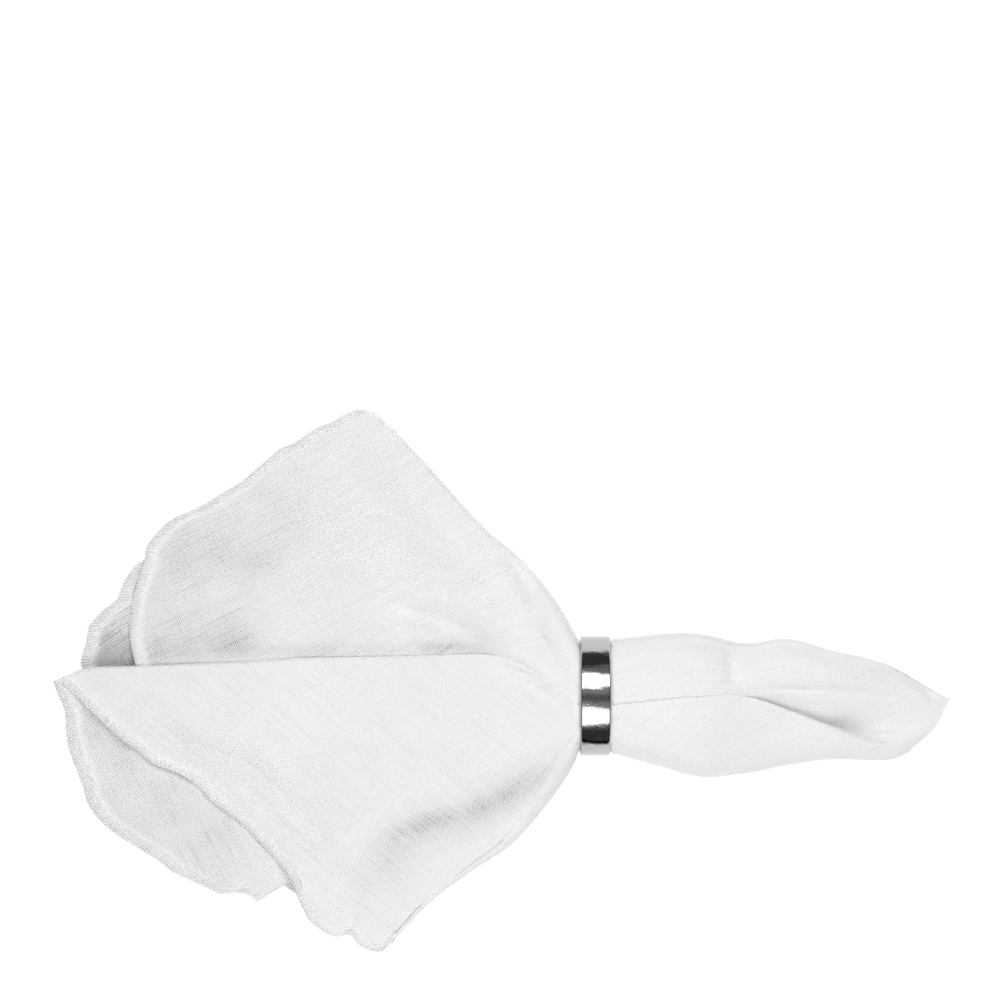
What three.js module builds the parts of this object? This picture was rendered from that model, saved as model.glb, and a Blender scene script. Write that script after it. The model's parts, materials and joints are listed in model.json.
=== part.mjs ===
// A square linen napkin drawn through a round metal ring, lying on a table. Millimetres, +Z up.
// The cloth was picked up by its middle: left of the ring its hems fan out, right of the ring
// its middle makes a closed tail. +X runs from the hems towards the tail.

import * as THREE from "three";

// Ring: a plain round band that stands on its rim
const ringOuterRadius = 21;
const ringWidth = 10.6;
const ringWall = 1.2;
const ringEdgeRadius = 0.5;
const ringSides = 64;
const ringEdgeSteps = 3;

// Cloth: one sheet whose layers lie a little apart
const sheetThickness = 1.0;
const layerPitch = 1.8;
const lowestLevel = sheetThickness / 2;
const neckHalf = ringWidth / 2 + 1.0; // the gathered cloth runs straight this far from the ring's middle
const mouthHalf = 19; // half the width in which the cloth leaves the ring
const settleReach = 105; // from this far beyond the ring the fan lies flat
const settlePower = 1.7;

// Stations along the cloth, from the end of the tail to the hem
const stations = ["end", "taper", "body", "open", "waist", "bulge", "neckRight", "neckLeft", "flare", "hem"];
const stationX = {
  taper: 104, body: 84, open: 68, waist: 53, bulge: 34, neckRight: neckHalf, neckLeft: -neckHalf,
};
const stationSteps = [4, 3, 3, 3, 2, 3, 2, 4, 8]; // steps of the sheet between one station and the next
const turnSteps = 4;
const wrapSteps = 8;
const easeTimes = 4; // the loops are rounded this often towards the closed end, where the folds open out
const easeMost = 0.5;
const panelTension = 0.5;

// Folds and panel lines in their order round the gathered cloth, one row each. turn is the side to which
// a fold bulges in plan, and 0 on a panel line. steps divides the panel after a fold. end and hem are
// [x, y, z], flare is [x, y] a little way out of the ring, and the other places are [y, z]. rise and reach
// are half the height and the depth of a fold's turn at each station. lie is how far the turn has opened
// flat there, from 0 to 1, and its sign is the way it opens.
const sheetLines = [
  {
    name: "upper fold", turn: 1, steps: 12,
    end: [122.5, -0.5, 2.6], taper: [9.8, 4.4], body: [14.7, 7], open: [18.8, 10.5], waist: [17, 14.5],
    bulge: [20.3, 21.5], ring: [16.7, 25], flare: [-14.8, 33.2], hem: [-81, 100.4, 5],
    rise: [0.9, 0.9, 1, 1, 1.2, 1.5, 1.7, 1.7, 1.3, 0.9],
    reach: [0.9, 0.9, 1, 1, 1.2, 1.4, 1.4, 1.4, 1.2, 0.9],
  },
  {
    name: "upper crest", turn: 0,
    end: [125.8, -1.5, 3.4], taper: [6, 12], body: [10, 19], open: [13, 22.5], waist: [11.5, 25],
    bulge: [14, 31], ring: [12.3, 34.8], flare: [-31, 28], hem: [-142.5, 65.8, 6.4],
  },
  {
    name: "upper shoulder", turn: 0,
    end: [125, -4.5, 3.4], taper: [0.5, 11], body: [3, 18.5], open: [3.6, 22], waist: [3.8, 26],
    bulge: [2.5, 33], ring: [4.5, 37.4], flare: [-38, 20], hem: [-162.5, 28, 6],
  },
  {
    name: "tucked fold", turn: -1, steps: 6,
    end: [121.5, -9, 3.4], taper: [-13.4, 5], body: [-16, 11.5], open: [-11.5, 15.5], waist: [-9.5, 20],
    bulge: [-9, 26.5], ring: [-8, 30], flare: [-39, -13], hem: [-119.8, -71.8, 7],
    rise: [0.4, 0.9, 1.5, 1.3, 1.2, 1.2, 1.2, 1.2, 1, 1],
    reach: [0, 0.1, 1.3, 1.3, 1.2, 1.2, 1.2, 1.2, 1, 1],
    lie: [-1, -0.5, 0, 0, 0, 0, 0, 0, 0, 0],
  },
  {
    name: "inner panel low", turn: 0,
    end: [121, -9.8, 3.4], taper: [-15.3, 6], body: [-14.8, 13.4], open: [-9.6, 17.8], waist: [-6.4, 23],
    bulge: [-6, 30.3], ring: [-5.5, 34], flare: [-38, -3], hem: [-152.5, -62, 8.6],
  },
  {
    name: "inner panel high", turn: 0,
    end: [120.5, -10.5, 3.4], taper: [-16.2, 7.2], body: [-13.4, 15], open: [-7.2, 19.6], waist: [-3, 25.6],
    bulge: [-3.2, 32.6], ring: [-3, 36.3], flare: [-37, 7], hem: [-180, -37.5, 9.4],
  },
  {
    name: "front ridge", turn: 1, steps: 12,
    end: [120, -11.3, 3.4], taper: [-17.4, 8.4], body: [-11.8, 16.6], open: [-5.2, 21.4], waist: [-0.3, 28.2],
    bulge: [-0.8, 35.2], ring: [-1, 38.8], flare: [-35.5, 14], hem: [-190.6, 4.2, 11.2],
    rise: [0.4, 0.9, 1.4, 1.2, 0.9, 0.9, 0.9, 0.9, 1.1, 1.2],
    reach: [0, 0.1, 1.2, 1.2, 0.9, 0.9, 0.9, 0.9, 1, 1.1],
    lie: [-1, -0.5, 0, 0, 0, 0, 0, 0, 0, 0],
  },
  {
    name: "front panel high", turn: 0,
    end: [117.5, -14.5, 3.3], taper: [-18.8, 8.1], body: [-15.5, 16], open: [-11, 20.9], waist: [-7, 27],
    bulge: [-7, 35], ring: [-4.5, 39.2], flare: [-38, -2], hem: [-145.7, -29, 13.4],
  },
  {
    name: "front panel low", turn: 0,
    end: [115, -17, 3.1], taper: [-19.7, 7.3], body: [-18.2, 13.8], open: [-17, 18.6], waist: [-15, 25.5],
    bulge: [-15, 33], ring: [-8.5, 37.8], flare: [-32, -22], hem: [-107.4, -64.8, 11.5],
  },
  {
    name: "front edge", turn: 0,
    end: [113.8, -18.2, 3.1], taper: [-20.5, 6.4], body: [-19, 13.2], open: [-18.8, 17.8],
    waist: [-18.6, 23.4], bulge: [-18.6, 31], ring: [-10.2, 36.2], flare: [-24, -27.5],
    hem: [-97, -82.5, 10.2],
  },
  {
    name: "lower fold", turn: -1, steps: 6, wraps: true,
    end: [112.8, -19.3, 2.3], taper: [-21.3, 3.4], body: [-19.4, 6.6], open: [-20, 8.8], waist: [-21.5, 11],
    bulge: [-21.5, 16], ring: [-11.5, 21], flare: [-15, -30.6], hem: [-76, -88, 5],
    rise: [0.9, 2, 5.9, 8, 10, 12.5, 13.5, 13.5, 9, 4.5],
    reach: [0.9, 2, 3.6, 4.9, 6, 6.5, 6.6, 6.6, 4.2, 2.4],
  },
  {
    name: "lowest layer", turn: 0,
    end: [114.4, -16.1, 1.4], taper: [-15, 0.5], body: [-12, 0.5], open: [-12, 0.5], waist: [-9, 0.5],
    bulge: [-5, 1], ring: [0, 2.1], flare: [-40, 0], hem: [-158, 8, lowestLevel],
  },
  {
    name: "first hidden fold", turn: 1, steps: 7,
    end: [116, -13, 1.4], taper: [-9, 0.5], body: [-5, 0.5], open: [-3, 1.5], waist: [4, 5.5],
    bulge: [9, 8.5], ring: [12.5, 11.5], flare: [-15, 28], hem: [-90, 86, lowestLevel + layerPitch * 0.5],
    rise: [0.6, 1, 1.2, 1.2, 1.4, 1.7, 1.7, 1.7, 1.3, 0.9],
    reach: [0, 0, 0, 0.3, 1.2, 1.6, 1.6, 1.6, 1.2, 0.9],
    lie: [1, 1, 0.9, 0.65, 0.1, 0, 0, 0, 0, 0],
  },
  {
    name: "middle layer", turn: 0,
    end: [117.6, -9.9, 1.4], taper: [-4, 0.6], body: [0, 0.8], open: [0, 3.2], waist: [-1, 7.5],
    bulge: [-1, 11.5], ring: [0, 15], flare: [-40, 0], hem: [-164, -4, lowestLevel + layerPitch],
  },
  {
    name: "second hidden fold", turn: -1, steps: 9,
    end: [119.3, -6.7, 1.4], taper: [1, 0.9], body: [5, 1.5], open: [3, 5], waist: [-6, 9.5],
    bulge: [-11.5, 14.5], ring: [-12.5, 18], flare: [-16, -26],
    hem: [-87, -76, lowestLevel + layerPitch * 1.5],
    rise: [0.6, 1, 1.2, 1.2, 1.4, 1.7, 1.7, 1.7, 1.3, 0.9],
    reach: [0, 0, 0, 0.3, 1.2, 1.6, 1.6, 1.6, 1.2, 0.9],
    lie: [1, 1, 0.9, 0.65, 0.1, 0, 0, 0, 0, 0],
  },
  {
    name: "behind layer low", turn: 0,
    end: [120.4, -4.6, 1.4], taper: [4, 1.4], body: [8.5, 3], open: [8, 7], waist: [2, 11.5],
    bulge: [0, 17], ring: [0, 21], flare: [-40, 0], hem: [-177, 6, lowestLevel + layerPitch * 2],
  },
  {
    name: "behind layer high", turn: 0,
    end: [121.5, -2.5, 1.4], taper: [7, 2.4], body: [12, 4.8], open: [13.5, 8.6], waist: [10, 12.6],
    bulge: [11, 19], ring: [9, 22.5], flare: [-34, 16], hem: [-171.5, 31, lowestLevel + layerPitch * 2],
  },
];

function mix(a, b, share) {
  return a + (b - a) * share;
}

// How much of its height above the table the cloth still has: all of it at the ring, none where it lies flat
function settle(x, y) {
  const across = Math.max(0, Math.abs(y) - mouthHalf);
  const away = Math.hypot(Math.max(0, -neckHalf - x), across);
  return (1 - Math.min(1, away / settleReach)) ** settlePower;
}

const neckLeft = stations.indexOf("neckLeft");
const waist = stations.indexOf("waist");
const lastStation = stations.length - 1;

function prepareLine(line) {
  const ringZ = line.ring[1];
  const places = { ...line, neckRight: line.ring, neckLeft: line.ring, flare: [...line.flare, ringZ] };
  const points = stations.map((station) => {
    const place = places[station];
    return new THREE.Vector3(...(place.length === 3 ? place : [stationX[station], ...place]));
  });
  const curve = new THREE.CatmullRomCurve3(points, false, "centripetal");
  return { ...line, ringZ, hemZ: line.hem[2], curve };
}

const lines = sheetLines.map(prepareLine);
const folds = lines.filter((line) => line.turn !== 0);

// A point of one line. v counts stations from the end of the tail
function placeOn(line, v) {
  const place = line.curve.getPoint(v / lastStation);
  if (v > neckLeft) {
    place.z = mix(line.hemZ, line.ringZ, settle(place.x, place.y));
  }
  return place;
}

// A value between two stations, from a row's column of values
function between(values, v) {
  const first = Math.min(Math.floor(v), lastStation - 1);
  return mix(values[first], values[first + 1], v - first);
}

// The closed end runs from the lower fold to the upper fold
const upperFold = folds.find((line) => line.name === "upper fold");
const lowerFold = folds.find((line) => line.name === "lower fold");
const endDirection = upperFold.curve.getPoint(0).sub(lowerFold.curve.getPoint(0)).setZ(0).normalize();

// The turn of one fold: half an ellipse from the layer before it to the layer after it
function foldTurn(line, v) {
  const place = placeOn(line, v);
  const along = line.curve.getTangent(v / lastStation).setZ(0).normalize();
  along.lerp(new THREE.Vector3(-1, 0, 0), settle(place.x, place.y)).normalize();
  const outward = new THREE.Vector3(along.y, -along.x, 0).multiplyScalar(line.turn);
  const flat = line.lie ? (between(line.lie, v) * Math.PI) / 2 : 0;
  const upward = new THREE.Vector3(0, 0, Math.cos(flat)).addScaledVector(endDirection, Math.sin(flat));
  const rise = between(line.rise, v);
  const reach = between(line.reach, v);
  const steps = line.wraps ? wrapSteps : turnSteps;
  const first = line.wraps ? Math.PI / 2 : -Math.PI / 2;
  const points = [];
  for (let step = 0; step <= steps; step += 1) {
    const angle = first * (1 - (2 * step) / steps);
    const point = place.clone().addScaledVector(upward, rise * Math.sin(angle));
    points.push(point.addScaledVector(outward, reach * Math.cos(angle)));
  }
  return points;
}

// A curve through the knots of a panel, at one of the heights that a knot has
function panelCurve(knots, height) {
  const points = knots.map((knot) => new THREE.Vector3(knot.point.x, knot.point.y, knot[height]));
  return new THREE.CatmullRomCurve3(points, false, "catmullrom", panelTension);
}

// The smooth panel between two folds. Out of the ring each of its points settles by its own place in plan
function panelBetween(knots, steps, v) {
  const panel = panelCurve(knots, "here");
  const hemHeights = panelCurve(knots, "hem");
  const ringHeights = panelCurve(knots, "ring");
  const points = [];
  for (let step = 1; step < steps; step += 1) {
    const share = step / steps;
    const point = panel.getPoint(share);
    if (v > neckLeft) {
      const hemZ = hemHeights.getPoint(share).z;
      point.z = mix(hemZ, ringHeights.getPoint(share).z, settle(point.x, point.y));
    }
    points.push(point);
  }
  return points;
}

function knotOf(line, v, point) {
  const lift = point.z - placeOn(line, v).z;
  return { point, here: point.z, ring: line.ringZ + lift, hem: line.hemZ + lift };
}

// The loop of the whole sheet at one station: turns of the folds, and the panels between them
function loopAt(v) {
  const loop = [];
  folds.forEach((line, order) => {
    const next = folds[(order + 1) % folds.length];
    const turn = foldTurn(line, v);
    const stop = order + 1 < folds.length ? lines.indexOf(next) : lines.length;
    const middles = lines.slice(lines.indexOf(line) + 1, stop);
    const knots = [
      knotOf(line, v, turn.at(-1)),
      ...middles.map((middle) => knotOf(middle, v, placeOn(middle, v))),
      knotOf(next, v, foldTurn(next, v)[0]),
    ];
    loop.push(...turn, ...panelBetween(knots, line.steps, v));
  });
  return easeLoop(loop, easeMost * Math.max(0, 1 - v / waist));
}

// Rounds the loop a little and keeps it on the table
function easeLoop(loop, share) {
  let eased = loop;
  for (let time = 0; time < easeTimes; time += 1) {
    eased = eased.map((point, column) => {
      const before = eased.at(column - 1);
      const after = eased[(column + 1) % eased.length];
      return point.clone().lerp(before.clone().lerp(after, 0.5), share);
    });
  }
  eased.forEach((point) => point.setZ(Math.max(point.z, lowestLevel)));
  return eased;
}

function sheetGrid() {
  const grid = [];
  stationSteps.forEach((steps, station) => {
    for (let step = 0; step < steps; step += 1) {
      grid.push(loopAt(station + step / steps));
    }
  });
  grid.push(loopAt(lastStation));
  return grid;
}

// One face of the sheet: every point of the grid moved along the sheet's own normal
function shiftedFace(grid, distance) {
  const around = grid[0].length;
  return grid.map((loop, row) => loop.map((point, column) => {
    const before = grid[Math.max(0, row - 1)][column];
    const after = grid[Math.min(grid.length - 1, row + 1)][column];
    const alongSheet = after.clone().sub(before);
    const round = loop[(column + 1) % around].clone().sub(loop[(column + around - 1) % around]);
    const normal = round.cross(alongSheet).normalize();
    return point.clone().addScaledVector(normal, distance);
  }));
}

// Column of the loop in the middle of a fold's turn
function middleColumn(fold) {
  const stepsOf = (line) => (line.wraps ? wrapSteps : turnSteps);
  const before = folds.slice(0, folds.indexOf(fold));
  return before.reduce((sum, line) => sum + stepsOf(line) + line.steps, 0) + stepsOf(fold) / 2;
}

// Closed solid of the sheet: its inside, its outside, the rim at the hem, and the closed end of the tail,
// where the inside stops one row short
function sheetGeometry(grid) {
  const around = grid[0].length;
  const inside = shiftedFace(grid, sheetThickness / 2).slice(1);
  const outside = shiftedFace(grid, -sheetThickness / 2);
  const positions = [...inside.flat(), ...outside.flat()].flatMap((point) => point.toArray());
  const insideIndex = (row, column) => row * around + (column % around);
  const outsideIndex = (row, column) => inside.length * around + row * around + (column % around);
  const triangles = [];
  const addFace = (rows, indexOf, flip) => {
    for (let row = 0; row + 1 < rows; row += 1) {
      for (let column = 0; column < around; column += 1) {
        const corners = [indexOf(row, column), indexOf(row, column + 1),
          indexOf(row + 1, column + 1), indexOf(row + 1, column)];
        const [a, b, c, d] = flip ? corners.reverse() : corners;
        triangles.push(a, b, c, a, c, d);
      }
    }
  };
  addFace(inside.length, insideIndex, false);
  addFace(outside.length, outsideIndex, true);
  const insideHem = inside.length - 1;
  const outsideHem = outside.length - 1;
  for (let column = 0; column < around; column += 1) {
    const a = insideIndex(insideHem, column);
    const b = insideIndex(insideHem, column + 1);
    const c = outsideIndex(outsideHem, column + 1);
    const d = outsideIndex(outsideHem, column);
    triangles.push(a, b, c, a, c, d);
  }
  // Each face of the closed end joins the upper side to the lower side, from the upper fold to the lower
  const first = middleColumn(upperFold);
  const last = middleColumn(lowerFold);
  const addCap = (indexOf, flip) => {
    let above = first;
    let below = first + around - 1;
    while (above + 1 < below) {
      const aboveShare = (above - first) / (last - first);
      const belowShare = (first + around - below) / (first + around - last);
      const onUpper = above < last && aboveShare <= belowShare;
      const corners = onUpper ? [above + 1, above, below] : [below, below - 1, above];
      const triangle = corners.map((column) => indexOf(0, column));
      triangles.push(...(flip ? triangle.reverse() : triangle));
      above += onUpper ? 1 : 0;
      below -= onUpper ? 0 : 1;
    }
  };
  addCap(insideIndex, false);
  addCap(outsideIndex, true);
  const geometry = new THREE.BufferGeometry();
  geometry.setAttribute("position", new THREE.Float32BufferAttribute(positions, 3));
  geometry.setIndex(triangles);
  return geometry;
}

function makeNapkin() {
  const linen = new THREE.MeshStandardMaterial({ color: 0xf1f1ef, roughness: 0.9, metalness: 0 });
  const mesh = new THREE.Mesh(sheetGeometry(sheetGrid()), linen);
  mesh.name = "napkin";
  return mesh;
}

// Profile of the band with round edges, turned about the ring's axis
function makeRing() {
  const centreRadius = ringOuterRadius - ringWall / 2;
  const halfWall = ringWall / 2 - ringEdgeRadius;
  const halfWidth = ringWidth / 2 - ringEdgeRadius;
  const corners = [[1, -1, -90], [1, 1, 0], [-1, 1, 90], [-1, -1, 180]];
  const profile = [];
  for (const [side, edge, firstAngle] of corners) {
    for (let step = 0; step <= ringEdgeSteps; step += 1) {
      const angle = THREE.MathUtils.degToRad(firstAngle + (90 * step) / ringEdgeSteps);
      profile.push(new THREE.Vector2(
        centreRadius + side * halfWall + ringEdgeRadius * Math.cos(angle),
        edge * halfWidth + ringEdgeRadius * Math.sin(angle),
      ));
    }
  }
  profile.push(profile[0].clone());
  const steel = new THREE.MeshStandardMaterial({ color: 0xc8c9cb, roughness: 0.08, metalness: 1 });
  const mesh = new THREE.Mesh(new THREE.LatheGeometry(profile, ringSides), steel);
  mesh.name = "ring";
  mesh.rotation.z = -Math.PI / 2;
  mesh.position.z = ringOuterRadius;
  return mesh;
}

// The origin is on the table, under the middle of the whole object
const napkinInRing = new THREE.Group();
napkinInRing.add(makeNapkin(), makeRing());
const middle = new THREE.Box3().setFromObject(napkinInRing).getCenter(new THREE.Vector3());
napkinInRing.position.set(-middle.x, -middle.y, 0);

export default napkinInRing;
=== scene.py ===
# linen napkin pulled through a chromed ring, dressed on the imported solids
import bpy
import bmesh
import json
import math
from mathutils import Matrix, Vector, noise

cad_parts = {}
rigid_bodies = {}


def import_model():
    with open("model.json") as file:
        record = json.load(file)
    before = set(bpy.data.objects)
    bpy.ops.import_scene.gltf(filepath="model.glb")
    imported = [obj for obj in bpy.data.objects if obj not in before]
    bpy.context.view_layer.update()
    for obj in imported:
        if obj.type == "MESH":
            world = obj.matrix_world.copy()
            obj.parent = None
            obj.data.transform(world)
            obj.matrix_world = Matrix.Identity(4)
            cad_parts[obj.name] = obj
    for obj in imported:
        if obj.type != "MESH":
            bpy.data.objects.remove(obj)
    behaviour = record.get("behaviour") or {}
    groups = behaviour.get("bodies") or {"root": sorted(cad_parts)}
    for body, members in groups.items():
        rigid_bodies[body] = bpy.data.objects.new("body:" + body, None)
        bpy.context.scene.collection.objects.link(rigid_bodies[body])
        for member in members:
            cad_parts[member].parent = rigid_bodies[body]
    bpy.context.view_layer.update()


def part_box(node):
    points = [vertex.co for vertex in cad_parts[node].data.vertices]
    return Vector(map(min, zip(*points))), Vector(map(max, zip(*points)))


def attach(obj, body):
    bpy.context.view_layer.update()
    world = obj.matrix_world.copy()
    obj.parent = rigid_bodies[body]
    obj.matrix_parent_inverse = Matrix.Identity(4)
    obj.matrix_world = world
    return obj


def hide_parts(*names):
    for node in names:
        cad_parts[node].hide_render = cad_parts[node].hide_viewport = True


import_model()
ringLow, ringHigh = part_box("ring")
ringCentre = (ringLow + ringHigh) / 2
pieces = bpy.context.collection.objects
print("frame loaded, ring centre", [round(c, 4) for c in ringCentre])


def linear(hexColour):  # sRGB hex to linear rgba
    parts = [int(hexColour[i:i + 2], 16) / 255 for i in (1, 3, 5)]
    return [c / 12.92 if c <= 0.04045 else ((c + 0.055) / 1.055) ** 2.4 for c in parts] + [1]


def addNode(tree, kind, settings=None, links=None):  # a link comes from a socket, or a node's first output
    node = tree.nodes.new("ShaderNode" + kind)
    for name, value in (settings or {}).items():
        if isinstance(name, str) and hasattr(node, name):
            setattr(node, name, value)
        else:
            node.inputs[name].default_value = value
    for name, source in (links or {}).items():
        socket = source if isinstance(source, bpy.types.NodeSocket) else source.outputs[0]
        tree.links.new(socket, node.inputs[name])
    return node


def clearNodes(owner):  # node tree of a material or the world, emptied
    owner.use_nodes = True
    owner.node_tree.nodes.clear()
    return owner.node_tree


def newMaterial(name):
    material = bpy.data.materials.new(name)
    return material, clearNodes(material)


def addPiece(name, shape):  # a bmesh as a new object, shaded smooth
    for face in shape.faces:
        face.smooth = True
    mesh = bpy.data.meshes.new(name)
    shape.to_mesh(mesh)
    shape.free()
    piece = bpy.data.objects.new(name, mesh)
    pieces.link(piece)
    return piece


def mix(a, b, share):
    return a + (b - a) * share


def between(values, place):  # value of a column between two of its stations
    first = min(int(place), len(values) - 2)
    return mix(values[first], values[first + 1], place - first)


def smoothPoint(points, place):  # soft curve through points, one unit from each to the next
    last = len(points) - 1
    first = min(int(place), last - 1)
    t = place - first
    b, c = points[first], points[first + 1]
    a = points[first - 1] if first > 0 else b * 2 - c
    d = points[first + 2] if first + 2 <= last else c * 2 - b
    bend, twist = 2 * a - 5 * b + 4 * c - d, 3 * b - a - 3 * c + d
    return 0.5 * (2 * b + (c - a) * t + bend * t ** 2 + twist * t ** 3)


def uneven(spot, size, seed):  # soft noise over the plan, size in mm
    return noise.noise(Vector((spot.x / size, spot.y / size, seed)))


def evenPlaces(points, count, fineSteps=12):  # places on the curve at even steps of its length
    fine = [i / fineSteps for i in range(fineSteps * (len(points) - 1) + 1)]
    spots = [smoothPoint(points, place) for place in fine]
    length = [0]
    for one, two in zip(spots, spots[1:]):
        length.append(length[-1] + (two - one).length)
    places, at = [], 0
    for step in range(count + 1):
        want = length[-1] * step / count
        while at < len(fine) - 2 and length[at + 1] < want:
            at += 1
        span = length[at + 1] - length[at]
        places.append(mix(fine[at], fine[at + 1], (want - length[at]) / span if span else 0))
    return places


# Napkin. Sizes in millimetres from the ring's middle on the table.
# The tail is a run of loops from its closed end to the ring, and the fan runs from the ring to the hems.
napkin = {
    "thickness": 0.4,
    "flat": 0.45,  # side of the square before it was gathered, in metres
    "stationX": [None, 104, 84, 68, 53, 34, 6.3, -6.3],  # end, taper, body, open, waist, bulge, ring, ring
    "tailSteps": [12, 9, 8, 8, 11, 9],
    "ringPlaces": [0, 0.095, 0.35, 0.65, 0.905],  # loops inside the ring
    "fanSteps": 55,
    "mouthHalf": 19, "settleReach": 105, "settlePower": 1.7,  # how the fan sinks from the ring to the table
    "puff": 0.115,  # share by which the cloth swells where the ring lets it go
    "puffFrom": 5.1, "puffFull": 1.2, "puffReach": 20,
    "puffFar": 33,  # the reach on the far side of the tail
    "puffUp": 0.6,  # and how much of the swelling goes upwards
    "lowest": 0.3,
    "easeTimes": 5, "easeShare": 0.5, "easeStations": 4,  # evens the loops out towards the closed end
    "endEase": 40, "endStations": 1.3,  # and the heights near that end once more
    "ringClear": 8, "endClear": 3, "tailWave": 0.5,  # its creases and waves set in past the ring and the end
}
mouthX = napkin["stationX"][-1]  # where the ring ends and the fan begins

# Folds in their order round the loop. tail gives x, y, z at the end and y, z at the other stations; line is
# the outline of the fold in plan from the ring to its tip.
folds = {
    "upperFold": {
        "turn": 1, "steps": 6, "tipZ": 5.6,
        "tail": [(122.5, -0.5, 2), (9.8, 4.4), (14.7, 7), (18.8, 10.5), (17, 14.5), (20.3, 21.5), (16.7, 25)],
        "line": [
            (-6.3, 20), (-8.2, 23.7), (-12.5, 31.3), (-20.1, 41.4), (-28.4, 50.1), (-36.7, 56.8),
            (-46.4, 66.7), (-57.3, 79), (-66.7, 89.1), (-73.3, 95.7),
        ],
        "rise": [0.8, 0.8, 1, 1, 1.2, 1.5, 1.7, 1.7, 0.8],
        "reach": [0.8, 0.8, 1, 1, 1.2, 1.4, 1.4, 1.4, 0.8],
    },
    "tuckedFold": {
        "turn": -1, "steps": 6, "tipZ": 6.9,
        "tail": [(122.2, -9.8, 2.5), (-13.4, 6.2), (-16, 12.2), (-11.5, 17.8), (-8, 21), (-6.5, 29),
                 (-7.5, 32.4)],
        "line": [(-6.3, -9), (-16, -11), (-39, -16), (-80, -42), (-108.5, -66), (-119.9, -72.9)],
        "rise": [0.3, 0.7, 1.2, 1.2, 0.9, 0.7, 0.6, 0.6, 0.8],
        "reach": [0, 0.1, 1.1, 1.2, 0.9, 0.7, 0.6, 0.6, 0.9],
        "lie": [-1, -0.5, 0, 0, 0, 0, 0, 0],
    },
    "frontRidge": {
        "turn": 1, "steps": 8, "tipZ": 10.4,
        "tail": [(120.8, -12, 2.5), (-17.4, 7.1), (-11.8, 16.8), (-5.6, 21.6), (-0.4, 27.6), (-0.3, 34.9),
                 (-2.6, 38.5)],
        "line": [
            (-6.3, -2.3), (-10, 1.6), (-15, 4.9), (-24, 10), (-35.6, 14.4), (-53.7, 14.2), (-75, 13.5),
            (-104, 12.9), (-121.5, 11.8), (-158, 10.2), (-178.4, 9.5), (-184.6, 7.6), (-191.6, 4.6),
        ],
        "rise": [0.3, 0.6, 0.9, 0.6, 0.25, 0.2, 0.2, 0.2, 0.25],
        "reach": [0, 0.1, 0.8, 0.6, 0.25, 0.2, 0.2, 0.2, 0.3],
        "lie": [-1, -0.5, 0, 0, 0, 0, 0, 0],
    },
    "lowerFold": {
        "turn": -1, "steps": 14, "tipZ": 4.8, "wraps": True, "lean": 0.4,
        "tail": [(112.6, -19.6, 1.5), (-21.1, 3.4), (-16.6, 7.8), (-14.5, 10.4), (-13, 13.2), (-14, 16.9),
                 (-9, 21)],
        "line": [
            (-6.3, -20), (-8, -24.6), (-15, -35.6), (-29.2, -52.2), (-43.4, -62), (-57.5, -72.6),
            (-68.9, -84.3), (-73, -88.6),
        ],
        "rise": [0.6, 2.6, 7.4, 10, 12.8, 16.5, 15.8, 15.8, 4.4],
        "reach": [0.8, 2.2, 6.4, 10.4, 14.5, 14, 9.2, 9.2, 2.2],
    },
    "firstTuck": {
        "turn": 1, "tipZ": 0.8,
        "tail": [(115.2, -16.2, 1.3), (-12, 0.4), (-9, 0.4), (-8, 1.6), (2.5, 4.6), (9, 7.4), (12, 9.5)],
        "line": [(-6.3, 13.5), (-15, 28), (-50, 58), (-92, 84)],
    },
    "secondTuck": {
        "turn": -1, "tipZ": 1.8,
        "tail": [(118.6, -12.3, 1.3), (-6, 0.6), (-2, 0.7), (-3, 4), (-7.5, 7), (-11.5, 11), (-13.2, 13.5)],
        "line": [(-6.3, -14.6), (-16, -25), (-48, -52), (-84, -77)],
    },
    "thirdTuck": {
        "turn": 1, "tipZ": 2.8,
        "tail": [(120.2, -8.3, 1.3), (-1, 0.9), (4, 1.6), (2, 6.4), (4.5, 9.4), (12, 14.6), (15.3, 17.5)],
        "line": [(-6.3, 16.7), (-15, 31), (-48, 62), (-87, 90)],
    },
    "fourthTuck": {
        "turn": -1, "tipZ": 3.8,
        "tail": [(121.4, -4.5, 1.3), (4, 1.6), (9, 3.4), (8, 8.4), (-7.5, 11.8), (-12, 18.2), (-13.8, 21.5)],
        "line": [(-6.3, -15.2), (-17, -26.5), (-50, -52), (-90, -75)],
    },
}
tuckTurn = {
    "steps": 5, "rise": [0.5, 1, 1.2, 1, 1.1, 1.5, 1.7, 1.7, 0.5],
    "reach": [0, 0, 0, 0.2, 0.9, 1.4, 1.4, 1.4, 0.5],
    "lie": [1, 1, 0.9, 0.5, 0, 0, 0, 0],
}

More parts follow.
